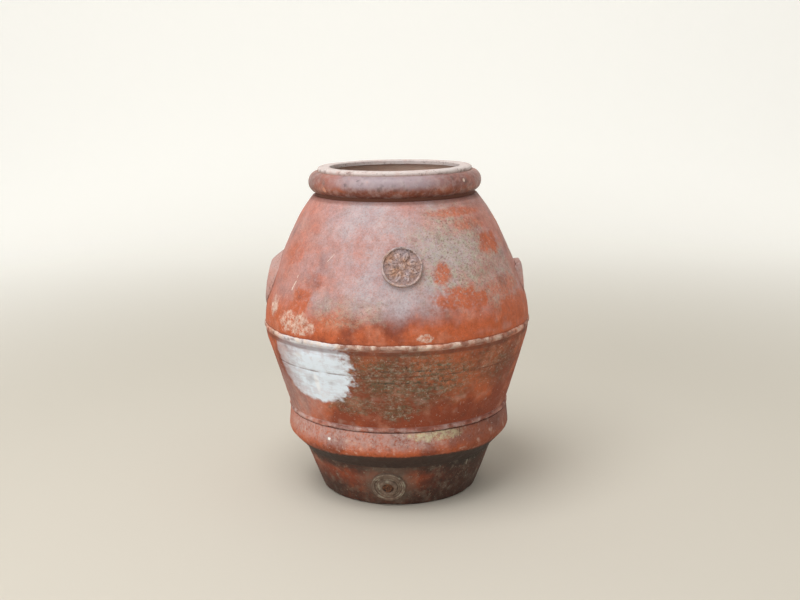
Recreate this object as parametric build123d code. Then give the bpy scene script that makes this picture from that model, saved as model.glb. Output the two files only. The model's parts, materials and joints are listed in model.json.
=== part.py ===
from build123d import *
from math import cos, radians, sin, tan
import os

# Storage jar of coiled terracotta, about one metre tall, with applied bands.
# Millimetres. The jar stands on z = 0 with its axis on Z, and its front looks along -Y.
# Each wall course stacks on the one below, so a taller course lifts all that it carries,
# and every radius of the body is set in from the girth.

# Wall courses, from the floor up
wall = 32.0                  # thickness of the clay, measured level
slab_height = 36.0           # solid floor of the jar
slab_edge = 9.0              # worn rounding round the floor's edge
foot_height = 200.0          # ground to the seam behind the lower roll
foot_inset = 74.5            # the foot at the ground is this far inside that seam
lower_height = 240.0         # seam behind the roll to the seam in the belly
belly_lean = 16.6            # degrees that the straight lower walls lean out
belly_height = 40.0          # seam in the belly to where the wall starts to turn in
turn_height = 47.0           # height of the turn from the leaning wall to the girth
turn_inset = 7.0             # the turn's start is this far inside the girth
girth_radius = 408.5
shoulder_turn = 93.0         # girth to the end of the tight shoulder curve
shoulder_inset = 14.5
slope_height = 295.0         # girth to the start of the last curve below the neck
slope_inset = 97.5
shoulder_height = 388.0      # girth to the neck
neck_inset = 157.5

# Collar, rim roll and lip
collar_height = 71.5
collar_inset = 15.0          # the collar's outside is this far inside the neck
collar_flare = 8.0           # extra radius at the collar's foot
collar_wall = 30.0           # thickness of the collar at its top
rim_roll_reach = 27.5        # how far the roll stands out of the collar
rim_roll_height = 63.0
lip_height = 13.5
lip_reach = 4.0              # the lip stands this far out over the collar
lip_overhang = 8.0           # and this far in
lip_lean = 7.0               # the lip is this much narrower at its seat
lip_inner_round = 4.0
lip_outer_round = 8.0

# Bands round the body
roll_depth = 63.0            # lower roll below the seam
roll_rise = 58.0             # lower roll above the seam
roll_reach = 29.5            # widest stand-out from the seam's radius
roll_corner_drop = 5.0       # widest place below the seam
roll_top_reach = 5.5         # stand-out left at the roll's top edge
roll_round = 24.0
roll_top_round = 3.5
lower_bead_gap = 1.2         # open crevice between roll and bead
lower_bead_round = 8.5
lower_bead_reach = 5.5
girth_bead_round = 12.0
girth_bead_reach = 4.5

# Rosette seal pressed on the front of the shoulder
seal_rise = 218.0            # above the girth
seal_turn = 2.8              # degrees to the right of the front
seal_radius = 58.5
seal_field = 6.0             # stand-out of the plain field
seal_relief = 9.0            # stand-out of petals and eye
seal_rim = 10.5              # stand-out of the rim
seal_rim_width = 7.0
seal_eye_radius = 11.0
petal_count = 8
petal_length = 31.0
petal_width = 15.0
petal_gap = 3.0              # between the eye and each petal

# Ears on the sides of the shoulder: round mounds, proud at the top and run out below.
# Rises are above the girth. A place on an ear's face is a stand-out from the wall and a rise.
ear_face_radius = 80.0       # round outline of the face
ear_foot_radius = 110.0      # round outline that the sides slope out to
ear_side_depth = 32.0        # depth over which they slope
ear_round = 4.0
right_ear_middle = 100.0     # rise of the outline's middle
right_ear_root = 168.0       # rise where the top surface leaves the wall
right_ear_tip = (21.5, 179.0)
right_ear_face = (6.3, 130.0)
right_ear_end = (-18.0, 20.0)
left_ear_middle = 111.0
left_ear_root = 215.0
left_ear_tip = (24.5, 190.0)
left_ear_face = (10.5, 110.0)
left_ear_end = (0.0, 32.0)

# Tap boss on the foot, and its bung
tap_lift = 3.5               # above the middle of the foot's open band
tap_turn = -7.0              # degrees to the right of the front
boss_radius = 51.0
boss_field = 6.0
boss_rim = 10.0
boss_rim_width = 8.0
boss_collar_radius = 27.0
boss_collar_height = 13.0
bore_radius = 17.5           # at the collar's face
bore_taper = 2.0             # degrees per side
bung_clearance = 0.15
bung_recess = 3.0            # the bung's face inside the collar's face
bung_inside = 10.0           # the bung's end inside the jar
bung_edge = 1.5

# Heights that follow from the courses
seam_z = foot_height
belly_seam_z = seam_z + lower_height
turn_z = belly_seam_z + belly_height
girth_z = turn_z + turn_height
shoulder_z = girth_z + shoulder_turn
slope_z = girth_z + slope_height
neck_z = girth_z + shoulder_height
lip_seat_z = neck_z + collar_height
crest_z = lip_seat_z + lip_height
tap_z = (foot_height - roll_depth) / 2 + tap_lift

# Radii that follow from the girth
turn_radius = girth_radius - turn_inset
seam_radius = turn_radius - (turn_z - seam_z) * tan(radians(belly_lean))
foot_radius = seam_radius - foot_inset
shoulder_radius = girth_radius - shoulder_inset
slope_radius = girth_radius - slope_inset
neck_radius = girth_radius - neck_inset
collar_radius = neck_radius - collar_inset
mouth_radius = collar_radius - collar_wall - lip_overhang
far = 2 * girth_radius       # beyond every outline, for cutting


def wall_line(inset):
    """Outline of the wall from ground to neck, as radius and height, moved in by inset."""
    foot = (foot_radius - inset, 0)
    seam = (seam_radius - inset, seam_z)
    turn = (turn_radius - inset, turn_z)
    girth = (girth_radius - inset, girth_z)
    shoulder = (shoulder_radius - inset, shoulder_z)
    slope = (slope_radius - inset, slope_z)
    neck = (neck_radius - inset, neck_z)
    foot_part = Line(foot, seam)
    lower_part = Line(seam, turn)
    turn_part = TangentArc(turn, girth, tangent=lower_part % 1)
    shoulder_part = TangentArc(girth, shoulder, tangent=turn_part % 1)
    slope_part = TangentArc(shoulder, slope, tangent=shoulder_part % 1)
    neck_part = TangentArc(slope, neck, tangent=slope_part % 1)
    return [foot_part, lower_part, turn_part, shoulder_part, slope_part, neck_part]


def filled(inset):
    """Section from the axis out to the wall line."""
    edges = wall_line(inset)
    low, high = edges[0] @ 0, edges[-1] @ 1
    axis = Polyline((high.X, high.Y), (0, high.Y), (0, low.Y), (low.X, low.Y))
    return make_face(Curve() + edges + axis)


def band(low, high):
    """Section of the clay between two heights."""
    return Pos(far / 2, (low + high) / 2) * Rectangle(far, high - low)


def wall_point(height):
    """Place and upward direction of the outer wall line at a height."""
    for edge in wall_line(0):
        if (edge @ 0).Y <= height <= (edge @ 1).Y:
            low, high = 0.0, 1.0
            for _ in range(40):
                middle = (low + high) / 2
                if (edge @ middle).Y < height:
                    low = middle
                else:
                    high = middle
            return edge @ low, edge % low
    raise ValueError("no wall at this height")


def ring(section):
    """Solid of revolution from a section given as radius and height."""
    return revolve(Plane.XZ * section, Axis.Z)


outer_section = filled(0)
clay_section = outer_section - filled(wall)

def course(low, high):
    """One wall course, between two level seams."""
    return ring(clay_section & band(low, high))


def base_slab():
    """Solid floor, with its bottom edge worn round."""
    section = outer_section & band(0, slab_height)
    edge = section.vertices().filter_by(lambda v: v.X > 1 and v.Y < 1)
    return ring(fillet(edge, slab_edge))


def lower_roll():
    """Heavy moulding that hides the seam between foot and lower wall."""
    bottom, _ = wall_point(seam_z - roll_depth)
    top, _ = wall_point(seam_z + roll_rise)
    inside = bottom.X - wall / 2
    crest = (seam_radius + roll_reach, seam_z - roll_corner_drop)
    lip = (top.X + roll_top_reach, top.Y)
    points = [(bottom.X, bottom.Y), crest, lip, (inside, top.Y), (inside, bottom.Y)]
    section = make_face(Polyline(*points, close=True))
    corners = section.vertices()
    section = fillet(corners.filter_by(lambda v: v.X > crest[0] - 1), roll_round)
    corners = section.vertices()
    section = fillet(corners.filter_by(lambda v: abs(v.X - lip[0]) < 0.01), roll_top_round)
    return ring(section - outer_section)


def bead(height, round_radius, reach):
    """Thin half-round cord on the wall."""
    place, _ = wall_point(height)
    section = Pos(place.X + reach - round_radius, height) * Circle(round_radius)
    return ring(section - outer_section)


def collar_section():
    """Upright neck inside the rim roll, a little wider at its foot."""
    inside_top = collar_radius - collar_wall
    inside_foot = neck_radius - wall
    points = [(inside_foot, neck_z), (collar_radius + collar_flare, neck_z),
              (collar_radius, lip_seat_z), (inside_top, lip_seat_z)]
    return make_face(Polyline(*points, close=True))


def rim_roll():
    """Thick roll of clay laid round the collar, level with the lip's seat."""
    height = lip_seat_z - rim_roll_height / 2
    oval = Pos(collar_radius, height) * Ellipse(rim_roll_reach, rim_roll_height / 2)
    return ring(oval - Pos(collar_radius / 2, height) * Rectangle(collar_radius, far)
                - collar_section())


def mouth_lip():
    """Lip ring on the collar: plumb inside, rounded on top."""
    outer = collar_radius + lip_reach
    points = [(mouth_radius, lip_seat_z), (outer - lip_lean, lip_seat_z),
              (outer, crest_z), (mouth_radius, crest_z)]
    section = make_face(Polyline(*points, close=True))
    section = fillet(section.vertices().filter_by(lambda v: v.X > outer - 0.01), lip_outer_round)
    inner_top = section.vertices().filter_by(lambda v: v.X < mouth_radius + 0.01 and v.Y > crest_z - 0.01)
    return ring(fillet(inner_top, lip_inner_round))


def plane_on_wall(height, turn):
    """Plane on the outer wall, looking out of it, at a height and a turn to the right of the front."""
    place, up = wall_point(height)
    side_x, side_y = sin(radians(turn)), -cos(radians(turn))
    origin = (place.X * side_x, place.X * side_y, height)
    normal = (up.Y * side_x, up.Y * side_y, -up.X)
    return Plane(origin=origin, x_dir=(-side_y, side_x, 0), z_dir=normal)


def laid_on_wall(plane, shape, reach):
    """Clay of even depth on the wall, with its outline cut square to the plane."""
    block = extrude(plane * shape, wall, both=True)
    return block & ring(filled(-reach) - outer_section)


def rosette_seal():
    """Round seal with a raised rim, an eye and plain petals."""
    plane = plane_on_wall(girth_z + seal_rise, seal_turn)
    rim = Circle(seal_radius) - Circle(seal_radius - seal_rim_width)
    petal_middle = seal_eye_radius + petal_gap + petal_length / 2
    petal = Ellipse(petal_length / 2, petal_width / 2)
    petals = PolarLocations(petal_middle, petal_count, start_angle=180 / petal_count) * petal
    relief = Sketch() + Circle(seal_eye_radius) + petals
    seal = laid_on_wall(plane, Circle(seal_radius), seal_field)
    seal += laid_on_wall(plane, rim, seal_rim)
    return seal + laid_on_wall(plane, relief, seal_relief)


def ear(middle_rise, root_rise, tip, face, end):
    """Ear on the right side: a round mound with sloping sides, its face bent through three places."""
    def place(stand_out, rise):
        point, _ = wall_point(girth_z + rise)
        return (point.X + stand_out, point.Y)

    root, tip_place, end_place = place(0, root_rise), place(*tip), place(*end)
    inside = root[0] - wall / 2
    outline = Curve() + [
        Line(root, tip_place),
        ThreePointArc(tip_place, place(*face), end_place),
        Polyline(end_place, (inside, end_place[1]), (inside, root[1]), root),
    ]
    section = make_face(outline)
    section = fillet(section.vertices().sort_by_distance(tip_place)[0], ear_round)
    slab = extrude(Plane.XZ * section, 2 * ear_foot_radius, both=True)

    def outline_at(depths):
        """Round outline, as many side depths out of where the sides end."""
        x = tip_place[0] + (depths - 1) * ear_side_depth
        radius = ear_foot_radius + (ear_face_radius - ear_foot_radius) * depths
        middle = Plane(origin=(x, 0, girth_z + middle_rise), x_dir=(0, 1, 0), z_dir=(1, 0, 0))
        return middle * Circle(radius)

    sides = loft([outline_at(-0.5), outline_at(2)], ruled=True)
    return (sides & slab) - ring(outer_section)


tap_plane = plane_on_wall(tap_z, tap_turn)


def tap_cone(clearance, start, end):
    """Tapered round plug along the tap's axis, from an inner to an outer place on it."""
    def radius_at(place):
        shrink = (boss_collar_height - place) * tan(radians(bore_taper))
        return bore_radius - clearance - shrink

    section = Polyline((0, start), (radius_at(start), start), (radius_at(end), end), (0, end), close=True)
    return tap_plane * revolve(Plane.XZ * make_face(section), Axis.Z)


bore = tap_cone(0, -3 * wall, boss_collar_height + wall)


def tap_boss():
    """Round pad with a raised rim, and a collar with a flat face round the bore."""
    rim = Circle(boss_radius) - Circle(boss_radius - boss_rim_width)
    boss = laid_on_wall(tap_plane, Circle(boss_radius), boss_field)
    boss += laid_on_wall(tap_plane, rim, boss_rim)
    collar = extrude(Circle(boss_collar_radius), wall / 2 + boss_collar_height)
    boss += tap_plane * Pos(0, 0, -wall / 2) * collar - ring(outer_section)
    return boss - bore


def tap_bung():
    """Tapered bung, a little inside the collar's face and a little through the wall."""
    start = -wall - bung_inside
    end = boss_collar_height - bung_recess
    bung = tap_cone(bung_clearance, start, end)
    ends = bung.edges().filter_by(GeomType.CIRCLE)
    return chamfer(ends, bung_edge)


seam_to_bead = roll_rise + lower_bead_gap + lower_bead_round
parts = {
    "base_slab": base_slab(),
    "foot_wall": course(slab_height, seam_z) - bore,
    "lower_wall": course(seam_z, belly_seam_z),
    "belly_wall": course(belly_seam_z, girth_z),
    "shoulder_wall": course(girth_z, neck_z),
    "neck_collar": ring(collar_section()),
    "rim_roll": rim_roll(),
    "mouth_lip": mouth_lip(),
    "lower_roll": lower_roll(),
    "lower_bead": bead(seam_z + seam_to_bead, lower_bead_round, lower_bead_reach),
    "girth_bead": bead(girth_z, girth_bead_round, girth_bead_reach),
    "rosette_seal": rosette_seal(),
    "right_ear": ear(right_ear_middle, right_ear_root, right_ear_tip, right_ear_face,
                     right_ear_end),
    "left_ear": mirror(ear(left_ear_middle, left_ear_root, left_ear_tip, left_ear_face,
                           left_ear_end), Plane.YZ),
    "tap_boss": tap_boss(),
    "tap_bung": tap_bung(),
}

os.makedirs("parts", exist_ok=True)
for name, shape in parts.items():
    export_step(shape, "parts/" + name + ".step")
    box = shape.bounding_box()
    print(name, len(shape.solids()), round(shape.volume / 1000), "cm3", box.min, box.max)
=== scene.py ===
"""A tall terracotta storage jar, weathered by years outdoors, on a pale floor.

Every piece of the jar is turned, pressed or carved round the fixed frame, and finished with
clay, lichen, salt and lime that are placed by turn, in degrees from the front, and by height.
"""
import itertools
import json
import math

import bmesh
import bpy
import numpy as np
from bpy.props import FloatProperty, FloatVectorProperty, IntProperty, PointerProperty
from mathutils import Matrix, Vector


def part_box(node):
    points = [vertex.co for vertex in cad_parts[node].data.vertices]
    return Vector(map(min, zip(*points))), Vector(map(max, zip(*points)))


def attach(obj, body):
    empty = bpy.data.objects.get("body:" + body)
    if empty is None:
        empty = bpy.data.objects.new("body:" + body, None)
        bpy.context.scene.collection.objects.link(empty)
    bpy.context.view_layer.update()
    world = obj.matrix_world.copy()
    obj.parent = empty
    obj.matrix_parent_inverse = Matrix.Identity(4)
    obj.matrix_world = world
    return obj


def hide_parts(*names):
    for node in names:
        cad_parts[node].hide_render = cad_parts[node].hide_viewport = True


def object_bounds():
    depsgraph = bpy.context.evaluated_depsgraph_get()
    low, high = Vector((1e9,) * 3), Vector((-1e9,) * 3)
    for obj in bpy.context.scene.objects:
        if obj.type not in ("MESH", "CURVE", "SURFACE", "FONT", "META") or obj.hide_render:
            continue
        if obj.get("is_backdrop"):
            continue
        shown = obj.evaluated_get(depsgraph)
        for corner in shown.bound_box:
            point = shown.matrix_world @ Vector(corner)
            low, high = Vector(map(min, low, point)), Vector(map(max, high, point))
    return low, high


bl_info = {
    "name": "Terracotta Storage Jar",
    "version": (1, 0, 0),
    "blender": (4, 5, 0),
    "location": "View3D > Sidebar > Jar",
    "description": "Builds a weathered clay storage jar round its fixed frame",
    "category": "Add Mesh",
}

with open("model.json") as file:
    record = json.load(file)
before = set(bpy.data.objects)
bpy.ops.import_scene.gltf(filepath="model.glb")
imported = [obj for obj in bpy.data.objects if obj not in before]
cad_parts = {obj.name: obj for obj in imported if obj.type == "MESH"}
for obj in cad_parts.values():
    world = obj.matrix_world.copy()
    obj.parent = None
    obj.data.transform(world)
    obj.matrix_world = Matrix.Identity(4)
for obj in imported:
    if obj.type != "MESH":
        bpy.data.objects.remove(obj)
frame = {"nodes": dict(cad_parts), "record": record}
CAD_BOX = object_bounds()
MM = 0.001


def wide(node):
    """Largest radius of a node of the frame."""
    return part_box(node)[1].x


def bottom(node):
    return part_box(node)[0].z


def top(node):
    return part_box(node)[1].z


def srgb(red, green, blue):
    """A colour as it is seen on a screen, from 0 to 255, made linear."""
    scaled = [value / 255 for value in (red, green, blue)]
    return [value / 12.92 if value <= 0.04045 else ((value + 0.055) / 1.055) ** 2.4 for value in scaled]


def length(name, description, default, low=0.0, high=2.0):
    return FloatProperty(name=name, description=description, default=default, min=low, max=high,
                         unit="LENGTH", precision=4)


def angle(name, description, default):
    return FloatProperty(name=name, description=description, default=math.radians(default),
                         subtype="ANGLE")


def colour(name, description, *screen):
    return FloatVectorProperty(name=name, description=description, subtype="COLOR", size=3,
                               default=srgb(*screen), min=0, max=1)


class JarSizes(bpy.types.PropertyGroup):
    """Sizes of the jar's body that the frame's boxes don't give, and the fineness of its mesh."""
    foot_radius: length("Foot radius", "Radius where the foot meets the ground", 0.24353)
    turn_radius: length("Turn radius", "Radius where the straight belly starts to turn", 0.4015)
    turn_height: length("Turn height", "Height where the straight belly starts to turn", 0.48)
    shoulder_radius: length("Shoulder radius", "Radius low on the shoulder", 0.394)
    shoulder_height: length("Shoulder height", "Height of that radius", 0.62)
    slope_radius: length("Slope radius", "Radius high on the shoulder", 0.311)
    slope_height: length("Slope height", "Height of that radius", 0.822)
    neck_radius: length("Neck radius", "Radius of the body under the rim", 0.251)
    wall: length("Wall", "Level thickness of the wall", 0.032)
    row: length("Row", "Height of one row of faces on the outside", 0.0042)
    inner_row: length("Inner row", "Height of one row of faces inside", 0.018)
    steps: IntProperty(name="Steps", description="Faces round the body", default=512, min=32)


class MouldingSizes(bpy.types.PropertyGroup):
    """Sizes of the cords, the lower roll, the collar, the rim's roll and the lip."""
    girth_bead: length("Girth cord", "Radius of the cord at the girth", 0.012)
    lower_bead: length("Lower cord", "Radius of the cord over the lower roll", 0.0085)
    crest_radius: length("Crest radius", "Radius of the lower roll's corner", 0.34753)
    crest_height: length("Crest height", "Height of that corner", 0.195)
    crest_round: length("Crest round", "Rounding of that corner", 0.024)
    shelf: length("Shelf", "Stand-out of the lower roll's top", 0.0055)
    shelf_round: length("Shelf round", "Rounding of its edge", 0.0035)
    collar_top: length("Collar top", "Outer radius of the collar's top", 0.236)
    collar_wall: length("Collar wall", "Thickness of the collar's top", 0.03)
    collar_foot: length("Collar foot", "Thickness of the collar's foot", 0.025)
    rim_half: length("Rim half", "Half the height of the rim's roll", 0.0315)
    rim_foot_turn: angle("Rim foot turn", "Where the rim's roll ends under the crest", -75.5)
    lip_foot: length("Lip foot", "Outer radius of the lip's foot", 0.233)
    lip_top: length("Lip top", "Outer radius of the lip's top", 0.24)


class HandWork(bpy.types.PropertyGroup):
    """How far the maker's hands and the weather took the clay from a true circle."""
    sway: length("Sway", "Slow swelling and sinking of the wall", 0.0016)
    dents: length("Dents", "Palm-sized hollows", 0.0009)
    ridges: length("Ridges", "Level marks of the coils and the rib", 0.00055)
    lumps: length("Lumps", "Small unevenness of the skin", 0.00035)
    bead_wander: length("Bead wander", "Rise and fall of a cord of clay along its way", 0.0022)
    bead_crust: length("Bead crust", "Depth of the crumbling along a cord of clay", 0.0016)
    edge_crumble: length("Edge crumble", "Depth of crumbling along the lower roll's foot", 0.0028)


class ReliefSizes(bpy.types.PropertyGroup):
    """Sizes of the seal, the ears and the tap's boss."""
    seal_height: length("Seal height", "Height of the seal's middle", 0.745)
    seal_turn: angle("Seal turn", "Turn of the seal from the front", 2.8)
    seal_radius: length("Seal radius", "Outer radius of the seal", 0.0585)
    seal_field: length("Seal field", "Stand-out of the seal's field", 0.006)
    seal_relief: length("Seal relief", "Stand-out of the petals", 0.0088)
    seal_rim: length("Seal rim", "Stand-out of the seal's rim", 0.0105)
    seal_rim_width: length("Seal rim width", "Width of the seal's rim", 0.0055)
    seal_eye: length("Seal eye", "Radius of the eye of the rosette", 0.011)
    petals: IntProperty(name="Petals", description="Petals of the rosette", default=8, min=4)
    petal_length: length("Petal length", "Length of a petal", 0.031)
    petal_width: length("Petal width", "Width of a petal", 0.0195)
    petal_middle: length("Petal middle", "Radius of a petal's middle", 0.0295)
    boss_height: length("Boss height", "Height of the tap boss's middle", 0.072)
    boss_turn: angle("Boss turn", "Turn of the tap boss from the front", -7)
    boss_radius: length("Boss radius", "Outer radius of the tap boss", 0.051)
    boss_field: length("Boss field", "Stand-out of the boss's field", 0.006)
    boss_rim: length("Boss rim", "Stand-out of the boss's rim", 0.010)
    boss_rim_width: length("Boss rim width", "Width of the boss's rim", 0.008)
    boss_collar: length("Boss collar", "Radius of the collar round the bore", 0.027)
    boss_face: length("Boss face", "Stand-out of the collar's face", 0.013)
    ring_step: length("Ring step", "Way from a crest to a hollow of the boss's rings", 0.0031)
    bore: length("Bore", "Radius of the bore at the collar's face", 0.0175)
    bore_taper: angle("Bore taper", "Taper of the bore's side", 2)
    sunk: length("Sunk", "How deep a pressed disc's back lies in the wall", 0.006)


class ClayColours(bpy.types.PropertyGroup):
    """Colours of the fired clay and of what has settled on it."""
    orange: colour("Orange clay", "Clean fired clay", 186, 92, 52)
    red: colour("Red clay", "Clay fired harder", 138, 64, 38)
    salmon: colour("Salmon clay", "Clay bleached by the sun", 206, 142, 116)
    # The bloom tint is lime film, and it also paints sky sheen on the shoulder
    bloom_and_sheen: colour("Bloom", "Thin film of lime on the shoulder", 190, 173, 170)
    # The lilac tint also paints the sky's sheen on the rim's upper front and in the shoulder's film
    lilac: colour("Lilac bloom", "Thicker film, where water ran", 172, 164, 173)
    salt: colour("Salt", "Salt that came through the wall", 230, 240, 250)
    crust: colour("Crust", "Lime crust on ridges and cords", 226, 208, 192)
    lichen: colour("Lichen", "Grey-green lichen on the shoulder", 172, 168, 148)
    pale_lichen: colour("Pale lichen", "Yellow-green lichen on the roll", 208, 202, 164)
    olive: colour("Olive growth", "Dark growth on the belly", 96, 84, 60)
    # The dark grime tint also paints shadow under the lower roll, on its underside and on the foot, and
    # shade in the crease under the lower cord
    grime_and_shadow: colour("Dark grime", "Grime that splashed on the foot", 50, 42, 36)
    # Umber also paints shade under the rim's roll, on the undersides of the rim and the lower roll, and
    # under the girth cord
    umber: colour("Umber", "Dark clay of the rim and the hollows", 96, 50, 34)
    lip: colour("Lip", "Bleached clay of the lip", 212, 202, 198)
    boss: colour("Boss", "Grey film on the tap's boss", 124, 111, 97)
    wood: colour("Wood", "Old wood of the bung", 126, 82, 56)
    wood_dark: colour("Dark wood", "Grain of the bung", 66, 42, 30)


class StageSettings(bpy.types.PropertyGroup):
    """The camera, fitted to the photograph, and the studio."""
    camera_x: length("Camera X", "Place of the camera to the right", 0.01, -9, 9)
    camera_y: length("Camera Y", "Place of the camera to the back", -3.306, -9, 9)
    camera_z: length("Camera Z", "Height of the camera", 1.2725, -9, 9)
    tilt: angle("Tilt", "How far the camera looks down", 11.83)
    roll: angle("Roll", "How far the camera leans to its right", 0.918)
    lens: FloatProperty(name="Lens", description="Focal length on a 36 mm sensor", default=48.71,
                        unit="CAMERA")
    floor: colour("Floor", "Pale stone", 205, 199, 187)
    backdrop: colour("Backdrop", "Pale wall", 253, 252, 247)
    floor_width: length("Floor width", "Width of the floor", 36, 1, 50)
    wall_back: length("Backdrop place", "How far behind the jar the backdrop stands", 8, 0, 50)
    cove: length("Cove", "Radius where the floor turns up", 4.0, 0, 10)


GROUPS = {
    "jar_sizes": JarSizes,
    "jar_mouldings": MouldingSizes,
    "jar_hand_work": HandWork,
    "jar_relief": ReliefSizes,
    "jar_colours": ClayColours,
    "jar_stage": StageSettings,
}


def settings(group):
    return getattr(bpy.context.scene, group)


# The jar's own line

def tangent_arc(start, heading, end, pitch):
    """Points on the arc that leaves start along heading and ends at end, and its last heading."""
    start, end, heading = np.array(start), np.array(end), np.array(heading)
    chord = end - start
    normal = np.array([-heading[1], heading[0]])
    radius = chord @ chord / (2 * chord @ normal)
    middle = start + radius * normal
    first = math.atan2(*(start - middle)[::-1])
    sweep = 2 * math.atan2(chord @ normal, chord @ heading)
    count = max(2, math.ceil(abs(radius * sweep) / pitch))
    angles = first + sweep * np.arange(1, count + 1) / count
    reach = abs(radius)
    points = np.stack([middle[0] + reach * np.cos(angles), middle[1] + reach * np.sin(angles)], 1)
    along = chord / np.linalg.norm(chord)
    return points, 2 * (heading @ along) * along - heading


def wall_outline(pitch):
    """Outside of the wall from the ground to the neck, as (radius, height)."""
    sizes = settings("jar_sizes")
    foot = np.array([sizes.foot_radius, 0])
    seam = np.array([wide("foot_wall"), top("foot_wall")])
    turn = np.array([sizes.turn_radius, sizes.turn_height])
    stations = [
        (wide("shoulder_wall"), bottom("shoulder_wall")),
        (sizes.shoulder_radius, sizes.shoulder_height),
        (sizes.slope_radius, sizes.slope_height),
        (sizes.neck_radius, top("shoulder_wall")),
    ]
    points = [foot[None]]
    for start, end in ((foot, seam), (seam, turn)):
        count = math.ceil(np.linalg.norm(end - start) / pitch)
        points.append(start + (end - start) * np.arange(1, count + 1)[:, None] / count)
    heading = (turn - seam) / np.linalg.norm(turn - seam)
    start = turn
    for station in stations:
        arc, heading = tangent_arc(start, heading, station, pitch)
        points.append(arc)
        start = np.array(station)
    return np.concatenate(points)


class WallLine:
    """Radius of the wall's outside at any height, and its outward direction."""
    def __init__(self):
        self.points = wall_outline(MM)

    def radius(self, height):
        return np.interp(height, self.points[:, 1], self.points[:, 0])

    def slope(self, height):
        return (self.radius(height + MM) - self.radius(height - MM)) / (2 * MM)


def rounded(*corners, pitch=1.5 * MM):
    """A closed outline through corners, each (radius, height, round), with its corners rounded."""
    outline = []
    places = [np.array(corner[:2]) for corner in corners]
    for index, corner in enumerate(corners):
        here = places[index]
        before = places[index - 1] - here
        after = places[(index + 1) % len(places)] - here
        turn_radius = corner[2] if len(corner) > 2 else 0
        if not turn_radius:
            outline.append(here)
            continue
        before /= np.linalg.norm(before)
        after /= np.linalg.norm(after)
        half = math.acos(np.clip(before @ after, -1, 1)) / 2
        back = turn_radius / math.tan(half)
        middle = here + (before + after) / np.linalg.norm(before + after) * turn_radius / math.sin(half)
        first, last = here + before * back - middle, here + after * back - middle
        sweep = math.pi - 2 * half
        count = max(3, math.ceil(turn_radius * sweep / pitch))
        for step in np.arange(count + 1) / count:
            mixed = first * math.sin((1 - step) * sweep) + last * math.sin(step * sweep)
            outline.append(middle + mixed / math.sin(sweep))
    return outline


def divided(outline, pitch):
    """The same closed outline, with its long straight runs cut into steps of about pitch."""
    finer = []
    for start, end in zip(outline, outline[1:] + outline[:1]):
        count = max(1, round(np.linalg.norm(np.subtract(end, start)) / pitch))
        finer += [start + np.subtract(end, start) * step / count for step in range(count)]
    return finer


# Noise, laid on points in metres

def lumps(points, size, seed, flatten=(1, 1, 1)):
    """Smooth noise from -1 to 1 whose lumps are about size across, flattened along some axes."""
    cells = 32
    table = np.random.default_rng(seed).uniform(-1, 1, (cells, cells, cells))
    place = points * np.array(flatten) / size
    corner = np.floor(place).astype(int)
    part = place - corner
    part = part * part * (3 - 2 * part)
    total = np.zeros(len(points))
    for step in itertools.product((0, 1), repeat=3):
        weight = np.prod(np.where(step, part, 1 - part), axis=1)
        column, row, layer = ((corner + step) % cells).T
        total += weight * table[column, row, layer]
    return total


def rough(points, size, seed, flatten=(1, 1, 1), layers=3):
    """Noise in several layers, each half as large and half as strong."""
    total = sum(lumps(points, size / 2 ** layer, seed + layer, flatten) / 2 ** layer
                for layer in range(layers))
    return total / 1.4


def ease(value, low, high):
    part = np.clip((value - low) / (high - low), 0, 1)
    return part * part * (3 - 2 * part)


def turn_of(points):
    """Turn of each point from the front, in degrees, growing to the right."""
    return np.degrees(np.arctan2(points[:, 0], -points[:, 1]))


# Meshes

def piece(name, bm, node, body="jar"):
    """Makes the finished object that stands for a node of the frame."""
    mesh = bpy.data.meshes.new(name)
    bm.to_mesh(mesh)
    bm.free()
    mesh.attributes.new("wear", "FLOAT", "POINT")
    made = bpy.data.objects.new(name, mesh)
    bpy.context.scene.collection.objects.link(made)
    mesh.shade_smooth()
    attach(made, body)
    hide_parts(node)
    return made


def turned(outline, steps, axis_radius=1e-6):
    """A closed outline turned a quarter way round the upright axis, then mirrored twice."""
    bm = bmesh.new()
    steps = steps
    line = [bm.verts.new((radius, 0, height)) for radius, height in outline]
    ring = [bm.edges.new(pair) for pair in zip(line, line[1:] + line[:1])]
    bmesh.ops.spin(bm, geom=line + ring, cent=(0, 0, 0), axis=(0, 0, 1), angle=math.tau / 4,
                   steps=steps // 4)
    for axis in "XY":
        quarter = [*bm.verts, *bm.edges, *bm.faces]
        bmesh.ops.mirror(bm, geom=quarter, matrix=Matrix.Identity(4), merge_dist=axis_radius, axis=axis)
    bmesh.ops.remove_doubles(bm, verts=bm.verts, dist=axis_radius)
    bmesh.ops.recalc_face_normals(bm, faces=bm.faces)
    return bm


def read_points(made):
    points = np.empty(len(made.data.vertices) * 3)
    made.data.vertices.foreach_get("co", points)
    return points.reshape(-1, 3)


def write_points(made, points, wear=None, sharp=55):
    """Moves the vertices, and keeps how proud or hollow each place is, from -1 to 1."""
    made.data.vertices.foreach_set("co", points.ravel())
    if wear is not None:
        made.data.attributes["wear"].data.foreach_set("value", np.clip(wear, -1, 1))
    made.data.update()
    made.data.set_sharp_from_angle(angle=math.radians(sharp))
    return made


def outward(points):
    """Level direction away from the jar's axis."""
    radius = np.maximum(np.hypot(points[:, 0], points[:, 1]), 1e-6)
    return np.stack([points[:, 0] / radius, points[:, 1] / radius, np.zeros(len(points))], 1)


def hand_built(points):
    """How far the wall's skin stands out from its true line, and the wear of its skin."""
    hand = settings("jar_hand_work")
    sway = rough(points, 0.34, 11, layers=2)
    dents = lumps(points, 0.085, 21)
    ridges = rough(points, 0.26, 31, flatten=(1, 1, 14), layers=3)
    skin = rough(points, 0.024, 41, layers=2)
    stand_out = hand.sway * (sway - 1) / 1.6 + hand.dents * dents + hand.ridges * ridges
    stand_out += hand.lumps * skin
    stand_out -= seam_marks(points)
    wear = 0.35 * ridges + 0.45 * skin - 0.6 * seam_marks(points) / hand.sway
    return stand_out, wear


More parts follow.
